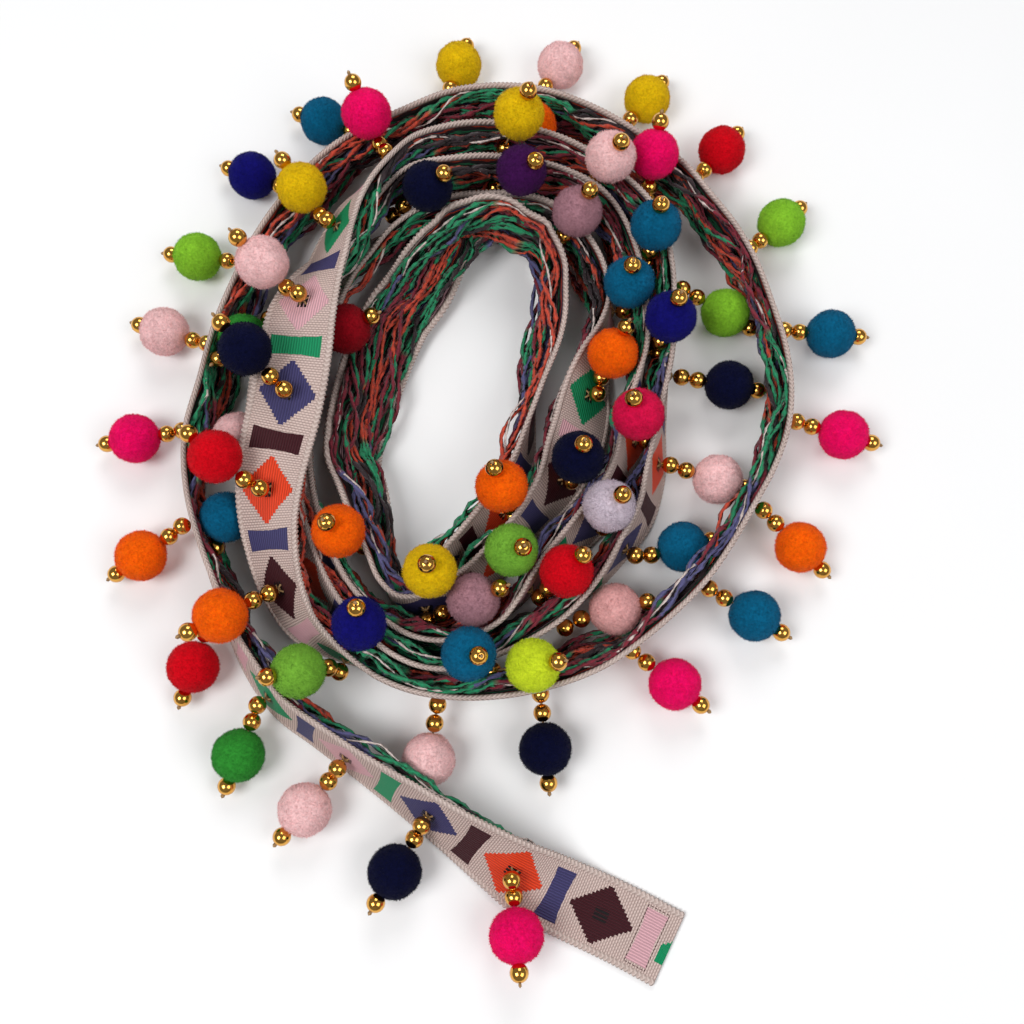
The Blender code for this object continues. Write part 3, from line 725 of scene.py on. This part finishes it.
def wovenMaterial():
    material, tree, shader = newMaterial("jacquard_front", weave["ground"], 0.85)
    pattern = tree.nodes.new("ShaderNodeGroup")
    pattern.node_tree = tapePattern
    for place, socket in zip(tapeCoords(tree), (pattern.inputs["U"], pattern.inputs["V"])):
        tree.links.new(place, socket)
    tree.links.new(pattern.outputs["Colour"], shader.inputs["Base Color"])
    rough = mathNode(tree, "MULTIPLY_ADD", pattern.outputs["Pattern"], -0.35, 0.9)
    tree.links.new(rough, shader.inputs["Roughness"])
    addBump(tree, shader, pattern.outputs["Height"], 0.00035)
    shader.inputs["Specular IOR Level"].default_value = 0.25
    return material


def reverseMaterial():
    # Between the loose floats the back shows dark lengthwise yarns.
    material, tree, shader = newMaterial("jacquard_back", weave["maroon"], 0.9)
    sums = partial(mathNode, tree)
    u = tapeCoords(tree)[0]
    band = sums("FRACT", sums("MULTIPLY_ADD", u, 3.4, objectNoise(tree, 120.0)))
    bands = ("maroon", "black", "green", "maroon", "pink", "maroon", "slate", "orange")
    yarn = steppedRamp(tree, band, [weave[c] for c in bands])
    edge = sums("GREATER_THAN", sums("ABSOLUTE", sums("SUBTRACT", u, 0.5)), 0.39)
    ribs = sums("SINE", sums("MULTIPLY", u, 2 * math.pi * 30))
    shaded = scaleColour(tree, yarn, sums("MULTIPLY_ADD", ribs, 0.2, 0.7))
    colour = mixColour(tree, edge, shaded, weave["groundShade"])
    tree.links.new(colour, shader.inputs["Base Color"])
    addBump(tree, shader, ribs, 0.0003)
    return material


def selvageMaterial():
    # Slanting stitches meet in a row of small arrowheads.
    material, tree, shader = newMaterial("selvage_braid", weave["ground"], 0.9)
    sums = partial(mathNode, tree)
    u, v = tapeCoords(tree)
    fold = sums("ABSOLUTE", sums("SUBTRACT", u, 0.5))
    slant = sums("MULTIPLY_ADD", v, tapeSizes.pitch / braid.tooth, sums("MULTIPLY", fold, 2.0))
    # the stitch wave is painted shade in the grooves between stitches and painted light on their crowns; it
    # also drives the bump
    stitch = sums("MULTIPLY_ADD", sums("SINE", sums("MULTIPLY", slant, 2 * math.pi)), 0.5, 0.5)
    share = sums("MULTIPLY_ADD", stitch, 0.6, sums("MULTIPLY", objectNoise(tree, 160.0), 0.5))
    # dark and light braid colours: painted shade and light of the stitches, mixed with random tone from the
    # noise
    colour = mixColour(tree, share, linear(164, 142, 134), linear(218, 200, 192))
    tree.links.new(colour, shader.inputs["Base Color"])
    addBump(tree, shader, stitch, 0.00018)
    shader.inputs["Specular IOR Level"].default_value = 0.2
    return material


def addTapeUv(piece, values):
    layer = piece.data.uv_layers.new(name="alongTape")
    index = np.empty(len(piece.data.loops), dtype=np.int32)
    piece.data.loops.foreach_get("vertex_index", index)
    layer.data.foreach_set("uv", np.asarray(values, dtype=np.float32)[index].ravel())


def patternPlace(place):
    return (place - tapeSizes.firstDiamond) / tapeSizes.pitch


def buildTape():
    columns, half = tapeSizes.columns, tapeSizes.clothHalf
    step = tapeSizes.pitch / tapeSizes.rowsPerPitch
    places = np.append(np.arange(0.0, tapeLength, step), tapeLength)
    centre, way, front = sectionsAt(places)
    verts, uvs = [], []
    for i, place in enumerate(places):
        for layer in (1, -1):
            for u in np.linspace(0.0, 1.0, columns):
                side = (u - 0.5) * (tapeSizes.width - tapeSizes.clothNarrower)
                verts.append(centre[i] + way[i] * side + front[i] * half * layer)
                uvs.append((0.04 + 0.92 * u, patternPlace(place)))
    ring = 2 * columns
    faces, backs = [], []
    for i in range(len(places) - 1):
        a, b = i * ring, (i + 1) * ring
        for c in range(columns - 1):
            faces.append((a + c, a + c + 1, b + c + 1, b + c))
            backs.append((a + columns + c, b + columns + c, b + columns + c + 1, a + columns + c + 1))
        faces.append((a, b, b + columns, a + columns))
        faces.append((a + columns - 1, a + ring - 1, b + ring - 1, b + columns - 1))
    last = (len(places) - 1) * ring
    for c in range(columns - 1):
        faces.append((c, columns + c, columns + c + 1, c + 1))
        faces.append((last + c, last + c + 1, last + columns + c + 1, last + columns + c))
    piece = newObject("woven_tape", verts, faces + backs, wovenMaterial())
    piece.data.materials.append(reverseMaterial())
    for face in piece.data.polygons[len(faces):]:
        face.material_index = 1
    addTapeUv(piece, uvs)
    bpy.ops.object.select_all(action="DESELECT")
    bpy.context.view_layer.objects.active = piece
    piece.select_set(True)
    bpy.ops.object.mode_set(mode="EDIT")
    bpy.ops.mesh.select_all(action="SELECT")
    bpy.ops.mesh.normals_make_consistent(inside=False)
    bpy.ops.object.mode_set(mode="OBJECT")
    piece.select_set(False)
    return piece


braid = SimpleNamespace(
    step=0.4,
    tooth=1.2,
    toothOut=0.5,
    toothMiddle=0.25,
    halfWide=1.0,
    halfThick=0.74,
    fromEdge=0.1,
    overFloor=0.02,
    sides=6,
)


def buildSelvage(name, side):
    # side is -1 for the upper edge and 1 for the lower one
    places = np.arange(0.0, tapeLength, braid.step)
    centre, way, front = sectionsAt(places)
    out = side * (tapeSizes.width / 2 - braid.halfWide - braid.fromEdge)
    sides = braid.sides
    verts, uvs, faces = [], [], ringFaces(0, len(places), sides)
    for i, place in enumerate(places):
        tooth = abs(math.sin(math.pi * place / braid.tooth)) * braid.toothOut
        for k in range(sides):
            turn = 2 * math.pi * (k + 0.5) / sides
            across = math.cos(turn) * braid.halfWide
            across += side * (tooth - braid.toothMiddle) if across * side > 0 else 0.0
            thick = math.sin(turn) * braid.halfThick
            verts.append(centre[i] + way[i] * (out + across) + front[i] * thick)
            verts[-1][2] = max(verts[-1][2], braid.overFloor)
            uvs.append((0.5 + 0.5 * math.sin(turn), patternPlace(place)))
    faces.append(tuple(reversed(range(sides))))
    faces.append(tuple(range((len(places) - 1) * sides, len(places) * sides)))
    piece = newObject(name, verts, faces, selvageMaterial())
    addTapeUv(piece, uvs)
    smoothShade(piece)
    return piece


yarns = SimpleNamespace(
    bundles=8,
    perBundle=3,
    step=2.0,
    fromEnd=0.6,
    radius=0.8,
    lowest=0.62,
    pressed=0.5,
    tallest=5.2,
    firstSide=-8.0,
    spread=15.6,
    farthestSide=8.1,
    stretch=46.0,
    solidGap=0.25,
    overFloor=0.06,
    rayStart=0.8,
    rayLength=9.0,
    turnGap=1.4,
    floorGap=0.6,
    colours=["maroon", "green", "brick", "maroon", "green", "black", "brick", "green", "slate"],
)
yarnColours = {
    "maroon": linear(112, 18, 38),
    "brick": linear(178, 58, 34),
    "green": linear(14, 122, 80),
    "slate": linear(76, 74, 116),
    "pale": linear(196, 180, 174),
    "black": linear(34, 16, 22),
}


def yarnMaterial():
    material, tree, shader = newMaterial("loose_yarns", yarnColours["maroon"], 0.75)
    tint = tree.nodes.new("ShaderNodeAttribute")
    tint.attribute_name = "yarnTone"
    fibre = objectNoise(tree, 1300.0, 3.0)
    shaded = scaleColour(tree, tint.outputs["Color"], mathNode(tree, "MULTIPLY_ADD", fibre, 1.3, 0.55))
    tree.links.new(shaded, shader.inputs["Base Color"])
    addBump(tree, shader, fibre, 0.0003)
    shader.inputs["Sheen Weight"].default_value = 0.15
    return material


def roomBehind(places, centre, way, front, side, tree):
    # How far the yarns may bulge off the back before they meet the next turn, a drop or the floor.
    off = yarns.rayStart
    room = np.full(len(places), yarns.tallest + 1.0)
    for i in range(len(places)):
        start = centre[i] + way[i] * side - front[i] * off
        hit = tree.ray_cast(Vector(start), Vector(-front[i]), yarns.rayLength)
        if hit[0] is not None:
            room[i] = min(room[i], hit[3] + off - yarns.turnGap)
        if front[i][2] > 0.02:
            room[i] = min(room[i], start[2] / front[i][2] + off - yarns.floorGap)
    padded = np.pad(room, 4, mode="edge")
    lowest = np.array([padded[i : i + 9].min() for i in range(len(room))])
    return np.convolve(np.pad(lowest, 3, mode="edge"), np.ones(7) / 7, mode="valid")


def buildFloats(tree):
    # Bundles of twisted yarns along the back, which change colour along the tape.
    rng = random.Random(7)
    solidCentres = settled.reshape(-1, 3)
    solidRadii = np.tile(chainRadii, len(settled))
    ends = yarns.fromEnd, tapeLength - yarns.fromEnd
    places = np.append(np.arange(*ends, yarns.step), ends[1])
    centre, way, front = sectionsAt(places)
    least, pressed, tallest = yarns.lowest, yarns.pressed, yarns.tallest
    verts, faces, tones = [], [], []

    def solidGap(point):
        return (np.linalg.norm(solidCentres - point, axis=1) - solidRadii).min()

    for bundle in range(yarns.bundles):
        middle = yarns.firstSide + yarns.spread * (bundle + 0.3) / yarns.bundles
        room = roomBehind(places, centre, way, front, middle, tree)
        long = rng.uniform(38.0, 62.0)
        wave = rng.uniform(22.0, 34.0)
        phase = rng.uniform(0.0, 6.28)
        turnOver = yarns.stretch * (0.37 * (bundle // 2) % 1.0) + rng.uniform(0.0, 6.0)
        for strand in range(yarns.perBundle):
            lay = rng.uniform(0.0, 6.28)
            twist = wave * rng.uniform(0.9, 1.15)
            pale = rng.random() < 0.1
            start = len(verts)
            for i, place in enumerate(places):
                swell = 0.5 - 0.5 * math.cos(2 * math.pi * place / long + phase)
                tall = 1.0 + (tallest - 1.0) * swell * (0.75 + 0.25 * math.sin(place / 9.0 + lay))
                tall = max(least, min(tall, room[i]))
                loose = min(1.0, tall / 2.5)
                turn = 2 * math.pi * place / twist + lay + strand * 2.1
                side = middle + 1.3 * math.sin(place / 11.0 + phase) * loose + 1.25 * math.cos(turn)
                high = max(0.6, min(tall + 1.0 * math.sin(turn) * loose, max(least, room[i])))
                side = max(-yarns.farthestSide, min(yarns.farthestSide, side))
                fat = yarns.radius * (0.9 + 0.25 * math.sin(place * 1.7 + lay)) * (0.55 if pale else 1.0)
                point = centre[i] + way[i] * side - front[i] * high
                # a yarn that would run into a bead or a pompom is pressed down, and thin if it must be
                while high > pressed and solidGap(point) < fat + yarns.solidGap:
                    high = max(pressed, high * 0.75)
                    if high == pressed:
                        fat *= 0.5
                    point = centre[i] + way[i] * side - front[i] * high
                turnAt = int((place + turnOver) // yarns.stretch)
                colour = turnAt * 4 + bundle // 2 * 2 + (bundle * 3 + strand) % 4 // 3
                tone = yarns.colours[colour % len(yarns.colours)]
                for k in range(3):
                    angle = 2 * math.pi * k / 3 + place / 3.0
                    vert = point + fat * (math.cos(angle) * way[i] + math.sin(angle) * front[i])
                    vert[2] = max(vert[2], yarns.overFloor)
                    verts.append(vert)
                    tones.append("pale" if pale else tone)
            faces += [(a, d, c, b) for a, b, c, d in ringFaces(start, len(places), 3)]
            faces.append((start, start + 1, start + 2))
            end = start + 3 * (len(places) - 1)
            faces.append((end + 2, end + 1, end))
    piece = newObject("back_floats", verts, faces, yarnMaterial())
    layer = piece.data.color_attributes.new(name="yarnTone", type="FLOAT_COLOR", domain="POINT")
    values = np.array([(*yarnColours[t], 1.0) for t in tones], dtype=np.float32)
    layer.data.foreach_set("color", values.ravel())
    smoothShade(piece)
    return piece


pompom = SimpleNamespace(
    coreRadius=6.7,
    tipRadius=7.25,
    lump=0.22,
    lumpScale=2.2,
    dent=0.12,
    dentScale=7.0,
    fibres=4600,
    fibreLong=0.6,
    fibreWide=0.17,
    fibreSunk=0.05,
    kinds=3,
)


def buildPompomMaster(kind):
    # A felted ball at the origin: a lumpy core and short fibres that lean all ways.
    coreRadius = pompom.coreRadius
    bpy.ops.object.select_all(action="DESELECT")
    bpy.ops.mesh.primitive_ico_sphere_add(subdivisions=4, radius=coreRadius * millimetre, location=(0, 0, 0))
    core = bpy.context.active_object
    core.name = "pompomMaster%d" % kind
    offset = Vector((13.1 * kind, 4.7, 9.9))

    def lumpAt(way):
        return noise.noise(way * pompom.lumpScale + offset) * pompom.lump

    for vert in core.data.vertices:
        way = vert.co.normalized()
        lump = lumpAt(way) + noise.noise(way * pompom.dentScale + offset) * pompom.dent
        vert.co = way * (coreRadius + lump) * millimetre
    bpy.ops.object.shade_smooth()
    rng = np.random.default_rng(31 + kind)
    n = pompom.fibres
    ways = unit(rng.normal(size=(n, 3)))
    other = unit(np.cross(ways, unit(rng.normal(size=(n, 3)))))
    third = np.cross(ways, other)
    lumps = np.array([lumpAt(Vector(w)) for w in ways])[:, None]
    foot = ways * (coreRadius - pompom.fibreSunk + lumps)
    long = pompom.fibreLong * rng.uniform(0.6, 1.3, size=(n, 1))
    high = (pompom.tipRadius - coreRadius) * rng.uniform(0.35, 1.1, size=(n, 1))
    wide = pompom.fibreWide * rng.uniform(0.6, 1.2, size=(n, 1))
    corners = [foot + other * wide / 2, foot - other * wide / 2, foot + third * long + ways * high]
    points = np.stack(corners, axis=1).reshape(-1, 3) * millimetre
    mesh = bpy.data.meshes.new("fibres")
    mesh.from_pydata([tuple(p) for p in points], [], [(3 * i, 3 * i + 1, 3 * i + 2) for i in range(n)])
    normals = np.cross(points[1::3] - points[0::3], points[2::3] - points[0::3])
    wrong = np.sum(normals * ways, axis=1) < 0
    if wrong.mean() > 0.5:
        mesh.flip_normals()
    pile = bpy.data.objects.new("fibres", mesh)
    bpy.context.scene.collection.objects.link(pile)
    pile.select_set(True)
    core.select_set(True)
    bpy.context.view_layer.objects.active = core
    bpy.ops.object.join()
    core.select_set(False)
    return core


# the insets of a bead's two ends, in metres
bead = SimpleNamespace(segments=14, rings=9, poleUp=0.955, rim=0.00022, holeEdge=0.00008, holeDeep=-0.0006)


def buildBeadMaster():
    # A bead along Z: each pole becomes one flat face, whose rim is turned in.
    bpy.ops.object.select_all(action="DESELECT")
    bpy.ops.mesh.primitive_uv_sphere_add(
        segments=bead.segments,
        ring_count=bead.rings,
        radius=dropSizes.beadRadius * millimetre,
        location=(0, 0, 0),
    )
    made = bpy.context.active_object
    made.name = "beadMaster"
    bpy.ops.object.mode_set(mode="EDIT")
    bpy.ops.mesh.select_all(action="DESELECT")
    bpy.ops.object.mode_set(mode="OBJECT")
    for face in made.data.polygons:
        face.select = abs(face.normal.z) > bead.poleUp
    bpy.ops.object.mode_set(mode="EDIT")
    bpy.ops.mesh.select_mode(type="FACE")
    bpy.ops.mesh.dissolve_faces()
    bpy.ops.mesh.inset(thickness=bead.rim, depth=0.0)
    bpy.ops.mesh.inset(thickness=bead.holeEdge, depth=bead.holeDeep)
    bpy.ops.object.mode_set(mode="OBJECT")
    bpy.ops.object.shade_smooth_by_angle(angle=math.radians(50))
    made.select_set(False)
    return made


def turnTo(way, spin):
    return Vector(way).to_track_quat("Z", "Y").to_matrix().to_4x4() @ Matrix.Rotation(spin, 4, "Z")


def placeCopy(master, centre, way, spin):
    # A copy with its own mesh, whose place is then put into that mesh.
    copy = master.copy()
    copy.data = master.data.copy()
    bpy.context.scene.collection.objects.link(copy)
    copy.data.transform(Matrix.Translation((np.asarray(centre) - shift) * millimetre) @ turnTo(way, spin))
    return copy


def joinAs(name, copies, material):
    bpy.ops.object.select_all(action="DESELECT")
    for copy in copies:
        copy.select_set(True)
    bpy.context.view_layer.objects.active = copies[0]
    bpy.ops.object.join()
    piece = bpy.context.active_object
    piece.name = name
    piece.data.name = name
    piece.data.materials.clear()
    piece.data.materials.append(material)
    piece.select_set(False)
    return piece


threads = SimpleNamespace(radius=0.32, knot=0.75, stitch=0.5, stitchReach=1.5, intoBall=(6.9, 6.0))


def addTube(verts, faces, points, radii, mark):
    # A four-sided thread through these points, closed at both ends.
    start = len(verts)
    points = [np.asarray(p, dtype=float) for p in points]
    for i, (point, radius) in enumerate(zip(points, radii)):
        run = unit(points[min(i + 1, len(points) - 1)] - points[max(i - 1, 0)])
        side = unit(np.cross(run, mark))
        up = np.cross(side, run)
        for k in range(4):
            angle = math.pi * k / 2
            verts.append(point + radius * (math.cos(angle) * side + math.sin(angle) * up))
    faces.extend(ringFaces(start, len(points), 4))
    faces.append((start + 3, start + 2, start + 1, start))
    end = len(verts) - 4
    faces.append((end, end + 1, end + 2, end + 3))


def buildDrops():
    rng = random.Random(11)
    masters = [buildPompomMaster(kind) for kind in range(pompom.kinds)]
    beadMaster = buildBeadMaster()
    balls, owners, beads = {}, {}, []
    verts, faces = [], []
    for number, chain, station in zip(built, settled, stations):
        first, second, ball, end = chain
        felt = drops[number][0]
        node = "drops_%02d" % (number // dropSizes.dropsPerStrip + 1)
        run = unit(ball - second)
        front, way = stationFronts[station], stationWays[station]
        root = stationCentres[station]
        copy = placeCopy(masters[number % pompom.kinds], ball, run, rng.uniform(0.0, 6.28))
        balls.setdefault(felt, []).append(copy)
        owners.setdefault(felt, set()).add(node)
        lean = unit(second - first)
        for centre, axis in ((first, unit(front + lean)), (second, unit(lean + run)), (end, run)):
            beads.append(placeCopy(beadMaster, centre, axis, rng.uniform(0.0, 6.28)))
        thread = threads.radius
        path = [root + front * 0.3, root + front * 1.4, first, (first + second) / 2, second]
        path += [ball - run * out for out in threads.intoBall]
        addTube(verts, faces, path, [thread * 1.5, thread] + [thread] * 5, way)
        tail = end + run * dropSizes.beadRadius
        knot = threads.knot
        path = [end, tail - run * 0.3, tail + run * 0.15, tail + run * 0.6, tail + run * 1.0]
        addTube(verts, faces, path, [thread, thread, knot * 0.7, knot * 0.7, 0.1], way)
        # two crossed stitches hold the drop on the tape
        along = np.cross(way, front)
        for slope in (-1.0, 1.0):
            arm = unit(along + slope * way) * threads.stitchReach
            rises = ((-1.0, 0.35), (-0.5, 0.85), (0.0, 1.0 + 0.12 * slope), (0.5, 0.85), (1.0, 0.35))
            path = [root + arm * out + front * rise for out, rise in rises]
            addTube(verts, faces, path, [threads.stitch * 0.6] * 5, front)
    pieces = []
    for felt in sorted(balls):
        piece = joinAs("pompoms_" + felt, balls[felt], feltMaterial(felt))
        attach(piece, "root")
        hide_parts(*sorted(owners[felt]))
        pieces.append(piece)
    gold = joinAs("gold_beads", beads, goldMaterial())
    stitched = newObject("bead_threads", verts, faces, threadMaterial())
    smoothShade(stitched)
    everyNode = sorted(set().union(*owners.values()))
    for piece in (gold, stitched):
        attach(piece, "root")
        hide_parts(*everyNode)
    for master in masters + [beadMaster]:
        bpy.data.objects.remove(master, do_unlink=True)
    return pieces + [gold, stitched]


def blockers():
    # Tape, balls and beads as one plain surface, for finding the room behind the tape.
    verts, cells = list(surfaceVerts), list(surfaceCells)
    rings, sides = 5, 8
    for chain in settled:
        for centre, radius in zip(chain, chainRadii):
            start = len(verts)
            for r in range(rings + 1):
                tilt = math.pi * r / rings
                for k in range(sides):
                    turn = 2 * math.pi * k / sides
                    out = math.sin(tilt)
                    way = np.array([out * math.cos(turn), out * math.sin(turn), math.cos(tilt)])
                    verts.append(Vector(centre + radius * way))
            cells += ringFaces(start, rings + 1, sides)
    return BVHTree.FromPolygons(verts, cells)


dropPieces = buildDrops()
print("drops built", len(dropPieces))
tapePiece = buildTape()
upperBraid = buildSelvage("upper_selvage", -1)
lowerBraid = buildSelvage("lower_selvage", 1)
backFloats = buildFloats(blockers())
for piece in (tapePiece, upperBraid, lowerBraid, backFloats):
    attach(piece, "root")
    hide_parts("tape")
print("tape built")

studio = SimpleNamespace(
    cameraHeight=0.3,
    elevation=math.radians(76.6),
    focal=1101.0 / 1024.0 * 36.0,
    sensor=36.0,
    floor=4.0,
    underFloor=-0.0002,
)


def buildFloor():
    bpy.ops.mesh.primitive_plane_add(size=studio.floor, location=(0, 0, studio.underFloor))
    floor = bpy.context.active_object
    floor.name = "floor"
    material, tree, shader = newMaterial("pale_floor", (0.93, 0.93, 0.93), 0.9)
    colour = mixColour(tree, objectNoise(tree, 8.0), (0.90, 0.90, 0.90), (0.95, 0.95, 0.95))
    tree.links.new(colour, shader.inputs["Base Color"])
    shader.inputs["Specular IOR Level"].default_value = 0.0
    floor.data.materials.append(material)
    floor.select_set(False)


def buildCamera():
    height, tilt = studio.cameraHeight, studio.elevation
    target = Vector((0, 0, 0)) - Vector(shift) * millimetre
    back = Vector((0, -math.cos(tilt), math.sin(tilt))) * height / math.sin(tilt)
    data = bpy.data.cameras.new("camera")
    data.lens = studio.focal
    data.sensor_width = studio.sensor
    data.clip_start = 0.01
    camera = bpy.data.objects.new("camera", data)
    camera.location = target + back
    camera.rotation_euler = (math.pi / 2 - tilt, 0, 0)
    bpy.context.scene.collection.objects.link(camera)
    bpy.context.scene.camera = camera


lamps = [
    {"name": "key_light", "place": (-0.5, -0.25, 0.9), "size": 0.5, "power": 6.4},
    {"name": "fill_light", "place": (0.6, -0.3, 0.8), "size": 0.6, "power": 3.5},
    {"name": "back_light", "place": (0.1, 0.8, 0.8), "size": 0.5, "power": 3.5},
]


def buildLights():
    for lamp in lamps:
        data = bpy.data.lights.new(lamp["name"], "AREA")
        data.size = lamp["size"]
        data.energy = lamp["power"]
        light = bpy.data.objects.new(lamp["name"], data)
        light.location = lamp["place"]
        light.rotation_euler = (-Vector(lamp["place"])).to_track_quat("-Z", "Y").to_euler()
        bpy.context.scene.collection.objects.link(light)
    world = bpy.data.worlds.new("soft_room")
    bpy.context.scene.world = world
    world.use_nodes = True
    sky = world.node_tree.nodes["Background"].inputs
    sky["Color"].default_value = (0.95, 0.97, 1.0, 1.0)
    sky["Strength"].default_value = 0.25
    bpy.context.scene.view_settings.view_transform = "Standard"


buildFloor()
buildCamera()
buildLights()
print("studio built")
